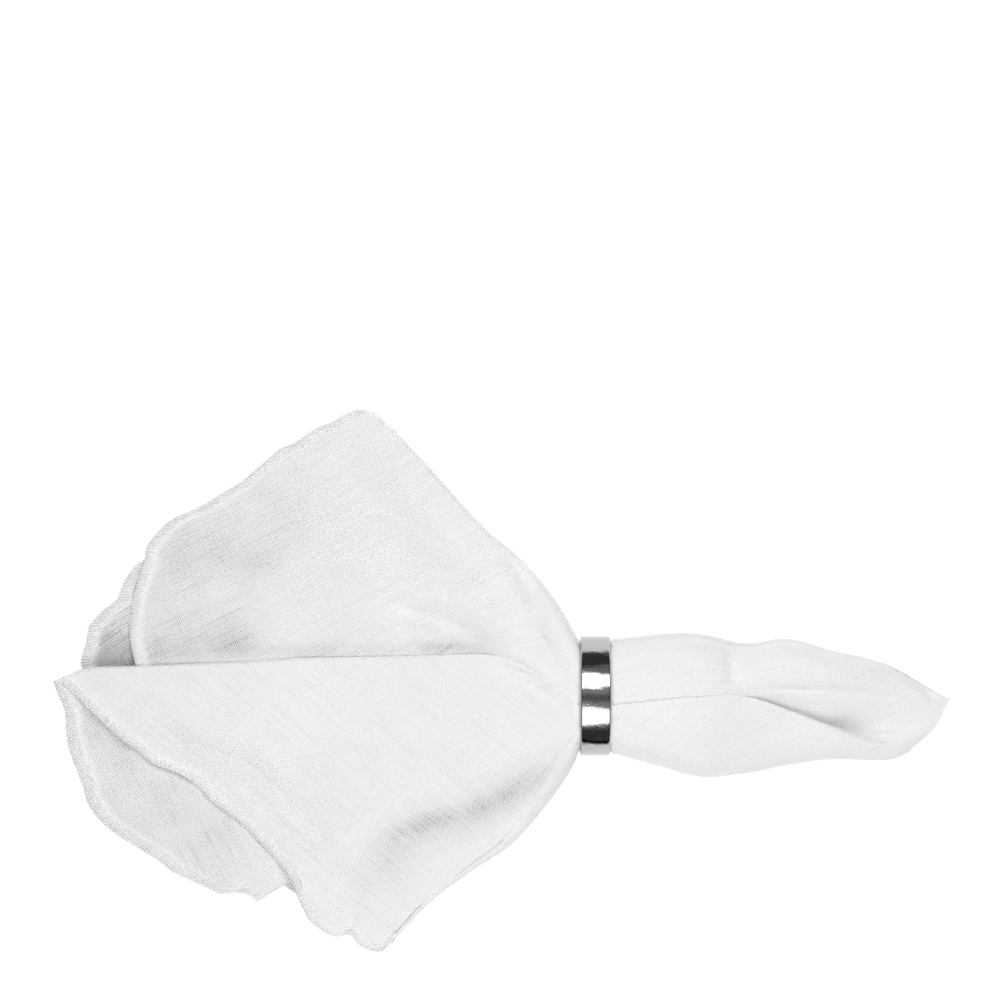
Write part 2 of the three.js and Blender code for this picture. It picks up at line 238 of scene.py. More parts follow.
# Panels, each after its fold. middles are lines along the tail in the same columns; hem is x, y, z from the
# fold before to the fold after; thread is the direction of the weave in plan, in degrees; ripple is how
# high the edge waves; sheerAndShade is how open the weave is, and painted shade that darkens it.
panels = {
    "upperPanel": {
        "steps": 104, "thread": 27, "tailThread": 12, "wave": 0.45, "ripple": 0.6, "sheerAndShade": 0.45,
        "middles": [
            [(124.6, -1, 2.5), (8.9, 8.2), (13.6, 14.4), (17.2, 18), (15.4, 21), (18.3, 27.8), (15.2, 31.4)],
            [(126.1, -2, 2.5), (6.4, 10.8), (10.6, 19), (13.4, 22.3), (11.8, 25), (14.2, 31.4), (12.3, 34.8)],
            [(125.2, -3.8, 2.5), (3.2, 11), (6, 19.8), (7.6, 23.4), (7.8, 26.9), (8.6, 33.8), (8.6, 37)],
            [(124.4, -5.3, 2.5), (0.6, 10), (2.6, 18.6), (3.6, 22.5), (3.8, 27.4), (4.4, 34.7), (3.2, 38.4)],
            [(124, -6.6, 2.5), (-4, 8.8), (-2.5, 16.8), (0.8, 21.2), (0.9, 27.4), (1, 34.8), (-1.2, 38.6)],
            [(123.5, -7.9, 2.5), (-8.5, 7.2), (-7, 14.8), (-2.4, 19.5), (0, 27.1), (0, 34.45), (-2.2, 38.05)],
        ],
        "hem": [
            (-76.2, 98.4, 6.2), (-79.6, 100.4, 6.6), (-83.6, 101.1, 6.8), (-88.2, 99.5, 6.9),
            (-93.1, 96.7, 7), (-99.6, 93.9, 7.2), (-106.1, 89.4, 7), (-111.4, 87.4, 7.4), (-115, 84.1, 7.2),
            (-119.9, 80, 7), (-125.6, 75.2, 7.2), (-131.3, 71.9, 7.4), (-138.6, 67.4, 7.1),
            (-144.3, 64.6, 7.4), (-147.5, 63.5, 7.5), (-152.4, 60.1, 7), (-156.5, 55.7, 6.9),
            (-158.9, 52.4, 6.8), (-159.4, 48, 6.9), (-160.7, 44, 7), (-162.5, 38.6, 7), (-163.9, 33.2, 7),
            (-164.8, 27.4, 7.1), (-164.9, 23.1, 7.4), (-164.5, 18.4, 8.1), (-162.9, 12.2, 9), (-161, 4, 8.6),
            (-152, -22, 6.8), (-135, -54, 6),
        ],
    },
    "innerPanel": {
        "steps": 66, "thread": -62, "wave": 0.5, "ripple": 0.8, "sheerAndShade": 0.45,
        "middles": [
            [(121.8, -10.6, 2.5), (-15.3, 6.5), (-14.8, 14), (-9.6, 20.1), (-5.8, 23.6), (-4.6, 31.3),
             (-5.9, 34.9)],
            [(121.3, -11.3, 2.5), (-16.2, 6.8), (-13.4, 15.4), (-7.4, 20.5), (-3, 25.8), (-2.4, 33.3),
             (-4.2, 36.7)],
        ],
        "hem": [
            (-124, -70.5, 8.2), (-128.8, -70.1, 8.4), (-132.5, -70.5, 8.6), (-136.2, -68.9, 8.4),
            (-144.3, -65.2, 8.6), (-150, -62.4, 8.8), (-154, -59.1, 8.6), (-160.5, -55, 8.7),
            (-169.5, -49.4, 8.9), (-176, -43.7, 9), (-180, -37.6, 9), (-180.8, -34.1, 9), (-182.9, -28, 9.2),
            (-185.1, -22.6, 9.3), (-186.5, -17.9, 9.3), (-187.3, -12.8, 9.4), (-187.4, -8.1, 9.6),
            (-188.1, -4.5, 9.8), (-190.2, 0.5, 10.2),
        ],
    },
    "frontPanel": {
        "steps": 96, "thread": -40, "tailThread": 45, "wave": 0.8, "ripple": 1.2, "sheerAndShade": 0.25,
        "middles": [
            [(118.5, -14.4, 2.5), (-18.6, 7), (-13.4, 16.5), (-8.4, 21.6), (-4.5, 27.5), (-4, 35.2),
             (-4.8, 38.7)],
            [(116.4, -16.3, 2.4), (-19.6, 6.6), (-14.6, 16.1), (-10.8, 21.3), (-7.8, 27.2), (-7.8, 35),
             (-6.2, 38.2)],
            [(114.4, -18, 2.2), (-20.4, 6), (-15.7, 15.7), (-12.8, 20.9), (-10.6, 26.7), (-11.2, 34.4),
             (-7.6, 37.4)],
        ],
        "hem": [
            (-188.7, 4.3, 11), (-184.4, 0.2, 11.1), (-180, -3.8, 11.3), (-175.7, -8.1, 11.4),
            (-172.8, -11, 11.4), (-168.8, -14.6, 11.4), (-161.6, -20, 11.1), (-158.7, -22.6, 10.9),
            (-154.4, -25.1, 10.7), (-148.3, -27.3, 10.6), (-144.3, -29.5, 10.4), (-139.9, -33.1, 10.3),
            (-136.2, -37.2, 10.1), (-126.4, -44.5, 9.8), (-116.7, -54.2, 9.6), (-107.7, -64.8, 9.7),
            (-105.1, -71.4, 9.9), (-102.4, -77.6, 9.8), (-100.8, -80, 9.8), (-98.3, -82.2, 9.8),
            (-94, -84.9, 9.8), (-91.3, -85.5, 9.8), (-88.6, -85.1, 9.8), (-86.6, -84.8, 9.6),
            (-85.2, -86.6, 9.4), (-82.6, -89, 9.4), (-80.2, -90.1, 9.3), (-77.2, -91, 9.2),
            (-74.6, -90.6, 9.2),
        ],
    },
    "tablePanel": {
        "steps": 16, "thread": 40,
        "middles": [
            [(113.4, -18.2, 1.3), (-16, 0.3), (-14, 0.3), (-13, 0.3), (-8, 0.3), (-4, 0.8), (0, 1.9)],
        ],
        "hem": [(-120, -60, 0.3), (-158, 8, 0.3), (-130, 58, 0.3)],
    },
    "secondPanel": {"thread": -30, "hem": [(-135, 54, 1.3), (-163, -6, 1.3), (-128, -55, 1.3)]},
    "thirdPanel": {"thread": 50, "hem": [(-122, -52, 2.3), (-152, 10, 2.3), (-126, 62, 2.3)]},
    "fourthPanel": {"thread": -20, "hem": [(-134, 60, 3.3), (-160, 0, 3.3), (-130, -52, 3.3)]},
    "behindPanel": {
        "steps": 40, "thread": 32, "wave": 0.2, "ripple": 0.3, "sheerAndShade": 0.8,
        "hem": [
            (-140, -50, 4.3), (-168, -16, 4.8), (-179, 2, 5.6), (-182, 8.8, 5.9), (-182.2, 14.8, 6),
            (-180.7, 17, 6), (-180.2, 21.6, 5.9), (-178.7, 25.6, 6), (-174.8, 29.6, 6), (-170.8, 31.8, 5.9),
            (-168.2, 35.4, 5.9), (-167.5, 37.9, 5.8), (-166.8, 40.8, 5.8), (-164.3, 43.7, 5.7),
            (-159.6, 48, 5.4), (-128, 67, 4.6), (-104, 86, 4.3),
        ],
    },
}
plainPanel = {"steps": 14, "tailThread": 0, "wave": 0, "ripple": 0, "sheerAndShade": 0, "middles": []}

# Soft creases by panel: path in plan, height (below zero a trough) and half width in mm; sheerAndShade is how
# far the weave is drawn open along it, and painted shade that darkens it. Those with x above zero are in the
# tail.
creases = {
    "upperPanel": [
        {"path": [(-72.7, 31.2), (-51.2, 24.1), (-36.6, 17.4)], "height": -3, "width": 4},
        {"path": [(-100, 18), (-70, 21), (-48, 19)], "height": 1.4, "width": 4.5},
        {"path": [(-158, 12), (-100, 15), (-60, 16.2), (-36, 16.4), (-24, 12), (-15, 7), (-8, 1.5)],
         "height": 1.25, "width": 2.6},
        {"path": [(-33, 53), (-26, 44), (-22, 34), (-20.4, 24), (-15, 12), (-9, 5)],
         "height": -2.9, "width": 3.6},
        {"path": [(-18, 38), (-14.5, 26), (-10, 14)], "height": 0.6, "width": 4.5},
        # painted shade in the trough beside the ring
        {"path": [(-19.5, 38), (-22.6, 31), (-21.4, 24), (-15, 14)], "width": 2.6, "sheerAndShade": 0.25},
        {"path": [(-50, 18), (-36, 17.4), (-24, 13), (-15, 8), (-6, 1)], "height": 0.7, "width": 3},
        {"path": [(-36, 19.5), (-27, 16.5), (-19, 12.5), (-12, 7.5)], "height": 1.5, "width": 3.4},
        {"path": [(-168, 11.5), (-150, 12.4), (-128, 13.2), (-104, 14.2)], "height": 0.7, "width": 3},
        {"path": [(-56, 15.6), (-48, 15.8), (-40, 15.8)], "height": 0.6, "width": 2.5},
        {"path": [(-80, 88), (-64, 71), (-44, 49), (-25, 31)], "height": 2.4, "width": 8},
        {"path": [(-130, 44), (-95, 40), (-60, 36)], "height": 1.3, "width": 12},
        {"path": [(-112, 72), (-84, 54), (-58, 44)], "height": -1.2, "width": 8},
        # painted shade: grey patches on the upper panel, the strip under the front ridge's edge and its right
        # end
        {"path": [(-156, 42), (-128, 53), (-98, 66)], "height": -0.5, "width": 15, "sheerAndShade": 0.22},
        {"path": [(-138, 50), (-122, 48), (-110, 46)], "width": 6, "sheerAndShade": 0.22},
        {"path": [(-164, 14), (-142, 18), (-118, 21)], "height": -0.8, "width": 9, "sheerAndShade": 0.35},
        {"path": [(-124, 14), (-90, 15), (-42, 15.6)], "width": 3.2, "sheerAndShade": 0.35},
        {"path": [(-66, 18), (-52, 17.4), (-36, 15.8)], "height": -0.4, "width": 2.4, "sheerAndShade": 0.5},
        {"path": [(49, 2.4), (62, 2.6), (73, 2.2), (85.7, 1.7), (101.4, -0.7), (120, -2.2)],
         "height": -0.6, "width": 1},
        {"path": [(52, 7), (73, 7), (88, 6), (106, 2.5)], "height": 0.9, "width": 3.5},
        {"path": [(84, -9.4), (91, -11), (97, -11.8), (103, -12.4)], "height": -2.3, "width": 4.2},
        {"path": [(47.4, 18), (47.8, 11), (48.2, 4)], "height": -1.7, "width": 2.2},
        {"path": [(104, 10.4), (110, 7.4), (115.4, 3.4), (119.6, -0.6), (122.6, -4.4)],
         "height": -1.5, "width": 1.6},
    ],
    "frontPanel": [
        # painted shade in the front panel's trough and its patches
        {"path": [(-10, -17), (-22.2, -28.8), (-43.8, -40.8), (-70.2, -50.4), (-84, -60)],
         "height": -3.5, "width": 7.5, "sheerAndShade": 0.3},
        {"path": [(-19, -25.6), (-34, -36), (-50, -42.6), (-66, -48), (-78, -53)],
         "height": -0.3, "width": 3.8, "sheerAndShade": 0.46},
        {"path": [(-14, -30), (-34, -48), (-58, -63), (-72, -78)], "height": 1.2, "width": 6},
        {"path": [(-66, -54), (-76, -62), (-86, -70)], "width": 8, "sheerAndShade": 0.25},
        {"path": [(-20, -6), (-60, -18), (-105, -24)], "height": 1.4, "width": 14},
        {"path": [(-36, 12), (-26, 7.6), (-17, 3.2), (-10, -1), (-7, -3.5)], "height": -1.7, "width": 2.6},
        {"path": [(-128, -31.5), (-118.4, -40.7), (-107.8, -51.3), (-98.9, -61.2), (-92, -71)],
         "height": 2, "width": 4},
        {"path": [(-156, -11), (-140, -20), (-124, -27), (-112, -38), (-101, -49), (-90, -64)],
         "height": -2, "width": 4.5, "sheerAndShade": 0.22},
        {"path": [(-110, -58), (-103, -68), (-98, -77)], "height": 1.2, "width": 2.4},
        {"path": [(-85, -78), (-86.6, -82), (-87, -86)], "height": -1.6, "width": 2.2},
        {"path": [(16, -9), (36, -11), (58, -12)], "height": 0.8, "width": 7},
        {"path": [(22, -20), (42, -19), (60, -21)], "height": -0.8, "width": 4},
    ],
    "behindPanel": [
        # painted shade on the layer behind, where it lies under the upper and front panels
        {"path": [(-177, 11), (-170, 12), (-162, 13)], "width": 7, "sheerAndShade": 1.6},
    ],
    "innerPanel": [
        # painted shade on the inner panel under the front hem
        {"path": [(-182, -4), (-174, -16), (-164, -26)], "height": -1.2, "width": 6, "sheerAndShade": 0.15},
        {"path": [(-160, -34), (-142, -48), (-122, -62)], "width": 10, "sheerAndShade": 0.2},
        {"path": [(-172, -34), (-160, -44), (-148, -54)], "height": 0.9, "width": 6},
    ],
}

for fold in folds.values():
    if "rise" not in fold:
        fold.update(tuckTurn)
panels = {name: {**plainPanel, **panel} for name, panel in panels.items()}
foldNames = list(folds)
panelNames = list(panels)


def settle(spot):  # how much of its height at the ring the cloth still has
    across = max(0, abs(spot.y) - napkin["mouthHalf"])
    away = math.hypot(max(0, mouthX - spot.x), across)
    return (1 - min(1, away / napkin["settleReach"])) ** napkin["settlePower"]


def puff(x, reach=napkin["puffReach"]):  # how much wider the cloth is beside the ring than inside it
    away = max(0, abs(x) - napkin["puffFrom"])
    swell = min(1, away / napkin["puffFull"]) * max(0, 1 - away / reach)
    return 1 + napkin["puff"] * swell


def swollenHeight(x, z):
    middle = 1000 * (ringCentre.z - ringLow.z)
    return z + max(0, z - middle) * napkin["puffUp"] * (puff(x) - 1)


def tailPoints(places):  # stations of a line, in mm
    spots = [Vector(places[0])]
    for x, place in zip(napkin["stationX"][1:], list(places[1:]) + [places[-1]]):
        spots.append(Vector((x, *place)))
    return spots


endDirection = Vector(folds["upperFold"]["tail"][0]) - Vector(folds["lowerFold"]["tail"][0])
endDirection.z = 0
endDirection.normalize()


def arc(fold, centre, outward, upward, rise, reach, lean):  # a leaning turn tucks its lower side in
    first = math.pi / 2 if fold.get("wraps") else -math.pi / 2
    over = math.hypot(reach, lean * rise) - reach
    points = []
    for step in range(fold["steps"] + 1):
        angle = first * (1 - 2 * step / fold["steps"])
        out = reach * math.cos(angle) + lean * rise * math.sin(angle) - over
        points.append(centre + upward * (rise * math.sin(angle)) + outward * out)
    return points


def tailTurn(fold, place):
    centre = smoothPoint(fold["spots"], place)
    flat = between(fold["lie"], place) * math.pi / 2 if "lie" in fold else 0
    upward = Vector((0, 0, math.cos(flat))) + endDirection * math.sin(flat)
    outward = Vector((0, fold["turn"], 0))
    rise, reach = (max(0, smoothPoint(fold[size][:-1], place)) for size in ("rise", "reach"))
    return arc(fold, centre, outward, upward, rise, reach, 0)


def fanTurn(fold, place, near=0.05):  # place on the fold's own line, in plan
    spot = smoothPoint(fold["plan"], place)
    ahead = smoothPoint(fold["plan"], min(place + near, len(fold["plan"]) - 1))
    behind = smoothPoint(fold["plan"], max(place - near, 0))
    share = settle(spot)
    along = (ahead - behind).normalized().lerp(Vector((-1, 0)), share ** 3).normalized()
    outward = Vector((along.y, -along.x, 0)) * fold["turn"]
    rise = mix(fold["rise"][-1], fold["mouthRise"], share)
    reach = mix(fold["reach"][-1], fold["reach"][-2], share)
    centre = Vector((spot.x, spot.y, mix(fold["tipZ"], fold["mouthZ"], share))) - outward * reach
    return arc(fold, centre, outward, Vector((0, 0, 1)), rise, reach, fold.get("lean", 0) * (1 - share))


def creaseAt(name, spot, what):  # height or sheer that the creases of a panel give at a place
    x, y = spot.xy
    total = 0
    for crease in creases.get(name, []):
        lowX, lowY, highX, highY = crease["box"]
        if lowX < x < highX and lowY < y < highY:
            near, fade = min(
                (((x - px) ** 2 + (y - py) ** 2) / spread, fade) for px, py, spread, fade in crease["fine"]
            )
            total += crease.get(what, 0) * fade * math.exp(-near)
    return total


# random patches and the rise towards the hems of sheerAndShade: open weave and painted shade of a panel
openAndShaded = {
    "patches": [(0.3, 7, 2.5), (0.2, 20, 8.5)],  # share, size in mm, seed
    "looseAt": 160, "most": 2.3,
}


def sheerAndShadeAmount(name, spot):
    patches = (share * uneven(spot, size, seed) for share, size, seed in openAndShaded["patches"])
    loose = min(1, math.hypot(*spot.xy) / openAndShaded["looseAt"]) ** 2  # the weave is loosest and the painted shade deepest by the hems
    amount = panels[name]["sheerAndShade"] * loose + creaseAt(name, spot, "sheerAndShade")
    return min(openAndShaded["most"], amount * sum(patches, 1))


for fold in folds.values():
    fold["spots"] = tailPoints(fold["tail"])
    fold["plan"] = [Vector(place) for place in fold["line"]]
    fold["plan"][0].y = (fold["tail"][-1][0] + fold["turn"] * fold["reach"][-2]) * puff(mouthX)
    mouthZ, mouthRise = fold["tail"][-1][1], fold["rise"][-2]
    fold["mouthZ"] = swollenHeight(mouthX, mouthZ)
    fold["mouthRise"] = swollenHeight(mouthX, mouthZ + mouthRise) - fold["mouthZ"]
    fold["fanPlaces"] = evenPlaces(fold["plan"], napkin["fanSteps"])
for panel in panels.values():
    panel["spots"] = [tailPoints(middle) for middle in panel["middles"]]
creaseRun = {"steps": 24, "step": 0.35, "endFade": 0.25, "fadeRise": 1.25, "endWidth": 0.5, "margin": 2.2}
for crease in sum(creases.values(), []):  # a crease fades and narrows at both of its ends
    path = [Vector(place) for place in crease["path"]]
    length = sum((two - one).length for one, two in zip(path, path[1:]))
    count = max(creaseRun["steps"], int(length / (crease["width"] * creaseRun["step"])))
    crease["fine"] = []
    for step, place in enumerate(evenPlaces(path, count)):
        spot = smoothPoint(path, place)
        fade = min(1, creaseRun["endFade"] + creaseRun["fadeRise"] * math.sin(math.pi * step / count))
        spread = (crease["width"] * mix(creaseRun["endWidth"], 1, fade)) ** 2
        crease["fine"].append((spot.x, spot.y, spread, fade))
    margin = creaseRun["margin"] * crease["width"]
    allX, allY, _, _ = zip(*crease["fine"])
    crease["box"] = (min(allX) - margin, min(allY) - margin, max(allX) + margin, max(allY) + margin)
columnPanel = []  # panel that each column of the loop belongs to
for order, name in enumerate(foldNames):
    nextPanel, lastPanel = panelNames[order], panelNames[order - 1]
    count = folds[name]["steps"] + 1
    columnPanel += [lastPanel if i < count / 2 else nextPanel for i in range(count)]
    columnPanel += [nextPanel] * (panels[nextPanel]["steps"] - 1)


waves = {"slow": 34, "quick": 13, "quickShare": 0.35, "quickSeed": 4.2}  # lengths in mm


def wave(name, spot):
    size, seed = panels[name]["wave"], len(name)
    if not size:
        return 0
    quick = waves["quickShare"] * uneven(spot, waves["quick"], waves["quickSeed"] + seed)
    return size * (uneven(spot, waves["slow"], seed) + quick)


def tailLoop(place):
    loop = []
    for order, name in enumerate(foldNames):
        turn = tailTurn(folds[name], place)
        after = tailTurn(folds[foldNames[(order + 1) % len(foldNames)]], place)
        panel = panels[panelNames[order]]
        knots = [turn[-1]] + [smoothPoint(spots, place) for spots in panel["spots"]] + [after[0]]
        loop += turn
        for step in range(1, panel["steps"]):
            loop.append(smoothPoint(knots, step / panel["steps"] * (len(knots) - 1)))
    share = napkin["easeShare"] * max(0, 1 - place / napkin["easeStations"])
    count = len(loop)
    for _ in range(napkin["easeTimes"] if share else 0):
        loop = [p.lerp((loop[i - 1] + loop[(i + 1) % count]) / 2, share) for i, p in enumerate(loop)]
    heights = [spot.z for spot in loop]
    for _ in range(int(napkin["endEase"] * max(0, napkin["endStations"] - place))):
        heights = [(heights[i - 1] + 2 * z + heights[(i + 1) % count]) / 4 for i, z in enumerate(heights)]
    for spot, z in zip(loop, heights):
        spot.z = z
    finished = []
    for name, spot in zip(columnPanel, loop):
        clear = max(0, min(1, (spot.x + mouthX) / napkin["ringClear"])) * min(1, napkin["endClear"] * place)
        height = swollenHeight(spot.x, spot.z)
        if clear:
            waving = napkin["tailWave"] * wave(name, spot)
            height += clear * (creaseAt(name, spot, "height") + waving)
        reach = napkin["puffFar" if spot.y > 0 else "puffReach"]
        finished.append(Vector((spot.x, spot.y * puff(spot.x, reach), max(height, napkin["lowest"]))))
    return finished


ringStation = len(napkin["tailSteps"])
mouthLoop = tailLoop(ringStation + 1)
fanTurns = {name: [fanTurn(fold, place) for place in fold["fanPlaces"]] for name, fold in folds.items()}
blend = {  # the first four say how many times their stretch goes into the panel
    "sides": 12, "mouth": 16, "fold": 8, "ripple": 9,
    "mouthCalm": 0.7, "rippleSize": 1.6, "rippleLength": 8, "rippleSeed": 6.1,
}


# A panel of the fan is stretched between its two folds, the ring and its hem
def fanPanel(name, before, after, mouth):
    panel = panels[name]
    steps, rows = panel["steps"], napkin["fanSteps"]
    left = [turn[-1] for turn in fanTurns[before]]
    right = [turn[0] for turn in fanTurns[after]]
    hemKnots = [left[-1]] + [Vector(place) for place in panel["hem"]] + [right[-1]]
    hem = [smoothPoint(hemKnots, place) for place in evenPlaces(hemKnots, steps)]
    grid = []
    for row in range(rows + 1):
        v = row / rows
        line = []
        offLeft = left[row].z - mix(hem[0].z, mouth[0].z, settle(left[row]))
        offRight = right[row].z - mix(hem[-1].z, mouth[-1].z, settle(right[row]))
        for step in range(1, steps):
            u = step / steps
            spot = left[row] * (1 - u) + right[row] * u + mouth[step] * (1 - v) + hem[step] * v
            spot -= (left[0] * (1 - u) + right[0] * u) * (1 - v) + (left[-1] * (1 - u) + right[-1] * u) * v
            share = settle(spot)
            lift = creaseAt(name, spot, "height")
            lift += wave(name, spot) * (1 - blend["mouthCalm"] * share)
            if panel["ripple"]:  # the overlocked edge is a little longer than the cloth behind it
                bend = uneven(hem[step], blend["rippleLength"], blend["rippleSeed"])
                nearHem = max(0, 1 - (1 - v) * blend["ripple"]) ** 2
                lift += panel["ripple"] * blend["rippleSize"] * bend * nearHem
            clear = min(1, blend["sides"] * u * (1 - u)) * min(1, v * blend["mouth"])
            spot.z = mix(hem[step].z, mouth[step].z, share) + clear * lift
            spot.z += offLeft * max(0, 1 - blend["fold"] * u) ** 2
            spot.z += offRight * max(0, 1 - blend["fold"] * (1 - u)) ** 2
            spot.z = max(spot.z, napkin["lowest"])
            line.append(spot)
        grid.append(line)
    return grid


def firstColumn(foldName):  # of the fold's turn in the loop
    before = zip(foldNames[:foldNames.index(foldName)], panelNames)
    return sum(folds[fold]["steps"] + panels[panel]["steps"] for fold, panel in before)


rows = []
for station, steps in enumerate(napkin["tailSteps"]):
    for step in range(steps):
        rows.append(tailLoop(station + step / steps))
for place in napkin["ringPlaces"]:
    rows.append(tailLoop(ringStation + place))
tailRows = len(rows)
fanGrids = []
for order, name in enumerate(panelNames):
    first = firstColumn(foldNames[order]) + folds[foldNames[order]]["steps"]
    mouth = [mouthLoop[(first + i) % len(mouthLoop)] for i in range(panels[name]["steps"] + 1)]
    fanGrids.append(fanPanel(name, foldNames[order], foldNames[(order + 1) % len(foldNames)], mouth))
for row in range(napkin["fanSteps"] + 1):
    loop = []
    for order, name in enumerate(foldNames):
        loop += fanTurns[name][row] + fanGrids[order][row]
    rows.append(mouthLoop if row == 0 else loop)
around = len(rows[0])
print("napkin loops", len(rows), "points round a loop", around)


def inFrame(spot):  # mm from the ring's middle on the table to metres in the frame
    return Vector((ringCentre.x + spot.x / 1000, ringCentre.y + spot.y / 1000, ringLow.z + spot.z / 1000))


def turned(x, y, degrees):
    angle = math.radians(degrees)
    return x * math.cos(angle) + y * math.sin(angle), y * math.cos(angle) - x * math.sin(angle)


# Place of each point in the weave, in mm: the fan by its plan, the tail by its length round the loop
ridgeColumn = firstColumn("frontRidge") + folds["frontRidge"]["steps"] // 2
roundLength = []
for row in range(tailRows + 1):
    lengths = [0.0] * around
    for way in (1, -1):
        for count in range(1, around // 2):
            column = (ridgeColumn + way * count) % around
            before = (column - way) % around
            lengths[column] = lengths[before] - way * (rows[row][column] - rows[row][before]).length
    roundLength.append(lengths)

# From the ridge to both sides the fan's plan is drawn out where the cloth is steep, and round the lower fold
wrap = folds["lowerFold"]
wrapFirst = firstColumn("lowerFold")
wovenWith = list(columnPanel)  # panel whose threads a face follows
wovenWith[wrapFirst:wrapFirst + wrap["steps"]] = ["frontPanel"] * wrap["steps"]
runs = {
    "upperPanel": list(range(firstColumn("tuckedFold"), folds["upperFold"]["steps"] // 2 - 1, -1)),
    "frontPanel": list(range(firstColumn("frontRidge") + folds["frontRidge"]["steps"],
                             wrapFirst + wrap["steps"] + 1)),
}
drawnOut = {}
for row in range(tailRows - 1, len(rows)):
    out = (rows[row][wrapFirst + wrap["steps"] // 2] - rows[row][wrapFirst]).xy.normalized()
    for name, run in runs.items():
        place = drawnOut[name, row, run[0]] = rows[row][run[0]].xy
        for one, two in zip(run, run[1:]):
            step = rows[row][two] - rows[row][one]
            way = out if name == "frontPanel" and one >= wrapFirst else step.xy.normalized()
            place = drawnOut[name, row, two] = place + way * step.length


def weavePlace(row, column, panelName, inTail):
    if inTail:
        return turned(rows[row][column].x, roundLength[row][column], panels[panelName]["tailThread"])
    place = drawnOut.get((panelName, row, column), rows[row][column])
    return turned(place.x, place.y, panels[panelName]["thread"])


sheetMesh = bmesh.new()
weaveLayer = sheetMesh.loops.layers.uv.new("weave")
# sheerAndShade per point: how open the weave is and how much painted shade it gets
sheerShadeLayer = sheetMesh.verts.layers.float.new("sheerAndShade")
grid = [[sheetMesh.verts.new(inFrame(spot)) for spot in loop] for loop in rows]
for row, loop in enumerate(rows):
    for column, spot in enumerate(loop):
        inFan = tailRows < row < len(rows) - 2
        grid[row][column][sheerShadeLayer] = sheerAndShadeAmount(columnPanel[column], spot) if inFan else 0.0
for row in range(len(rows) - 1):
    inTail = row < tailRows - 1
    for column in range(around):
        following = (column + 1) % around
        corners = [(row, column), (row + 1, column), (row + 1, following), (row, following)]
        face = sheetMesh.faces.new([grid[r][c] for r, c in corners])
        for loop, (r, c) in zip(face.loops, corners):
            loop[weaveLayer].uv = weavePlace(r, c, wovenWith[column], inTail)
# the end of the tail is closed from its upper side to its lower side
above = folds["upperFold"]["steps"] // 2
below = above + around - 1
last = wrapFirst + wrap["steps"] // 2
first = above
while above + 1 < below:
    upperShare = (above - first) / (last - first)
    lowerShare = (first + around - below) / (first + around - last)
    onUpper = above < last and upperShare <= lowerShare
    corners = [above, above + 1, below] if onUpper else [above, below - 1, below]
    face = sheetMesh.faces.new([grid[0][c % around] for c in corners])
    for loop, c in zip(face.loops, corners):
        loop[weaveLayer].uv = weavePlace(0, c % around, "upperPanel", True)
    above, below = (above + 1, below) if onUpper else (above, below - 1)
for column in range(around):
    sheetMesh.edges.get((grid[0][column], grid[0][column - 1])).smooth = False
bmesh.ops.recalc_face_normals(sheetMesh, faces=sheetMesh.faces)
napkinSheet = addPiece("napkinSheet", sheetMesh)
thick = napkinSheet.modifiers.new("clothThickness", "SOLIDIFY")
thick.thickness = napkin["thickness"] / 1000
thick.offset = 0
print("napkin sheet faces", len(napkinSheet.data.polygons))

# Overlocked edge: one stitch after another round the raw edge, and the needle line behind them
overlock = {  # in mm; past is how far the thread passes the raw edge
    "pitch": 1.05, "depth": 4.2, "under": 3.2, "slant": 0.9, "thread": 0.28, "past": 0.05, "lift": 0.12,
    "crown": 0.12, "crownSlant": 0.4, "turn": 0.2, "wander": 0.05, "wanderStep": 0.37,
    "needle": 2.4, "gap": 0.4, "needleAt": 0.96, "needleLift": 0.1,
}
hemRow, insideRow = rows[-1], rows[-2]
stitchCurve = bpy.data.curves.new("overlockStitches", "CURVE")
stitchCurve.dimensions = "3D"
stitchCurve.bevel_depth = overlock["thread"] / 1000
stitchCurve.bevel_resolution = 0
stitchCurve.use_fill_caps = True


def addStitch(points):
    spline = stitchCurve.splines.new("POLY")
    spline.points.add(len(points) - 1)
    for point, spot in zip(spline.points, points):
        point.co = (*inFrame(spot), 1)


inward, normals = [], []
for column in range(around):
    into = (insideRow[column] - hemRow[column]).normalized()
    side = (hemRow[(column + 1) % around] - hemRow[column - 1]).normalized()
    normals.append(into.cross(side).normalized())
    inward.append(into)
walked = nextStitch = nextNeedle = stitchCount = 0
for column in range(around):
    following = (column + 1) % around
    one, two = hemRow[column], hemRow[following]
    span = (two - one).length
    while nextStitch < walked + span:
        share = (nextStitch - walked) / span
        spot = one.lerp(two, share)
        into = inward[column].lerp(inward[following], share).normalized()
        up = normals[column].lerp(normals[following], share).normalized()
        side = (two - one).normalized()
        wander = noise.noise(Vector((nextStitch * overlock["wanderStep"], 0.5, 1.5)))
        depth = overlock["depth"] * (1 + overlock["wander"] * wander)
        half = napkin["thickness"] / 2 + overlock["lift"]
        slant, turn = side * overlock["slant"], into * overlock["turn"]
        addStitch([
            spot + into * depth + slant + up * half,
            spot + into * depth * 0.5 + slant * overlock["crownSlant"] + up * (half + overlock["crown"]),
            spot + turn + up * half,
            spot - into * overlock["past"],
            spot + turn - up * half,
            spot + into * overlock["under"] - slant - up * half,
        ])
        if nextStitch >= nextNeedle:
            start, raised = spot + into * depth * overlock["needleAt"], up * (half + overlock["needleLift"])
            addStitch([start + raised, start + side * (overlock["needle"] - overlock["gap"]) + raised])
            nextNeedle += overlock["needle"]
        nextStitch += overlock["pitch"]
        stitchCount += 1
    walked += span
stitchHolder = bpy.data.objects.new("stitchHolder", stitchCurve)
pieces.link(stitchHolder)
bpy.context.view_layer.update()
depsgraph = bpy.context.evaluated_depsgraph_get()
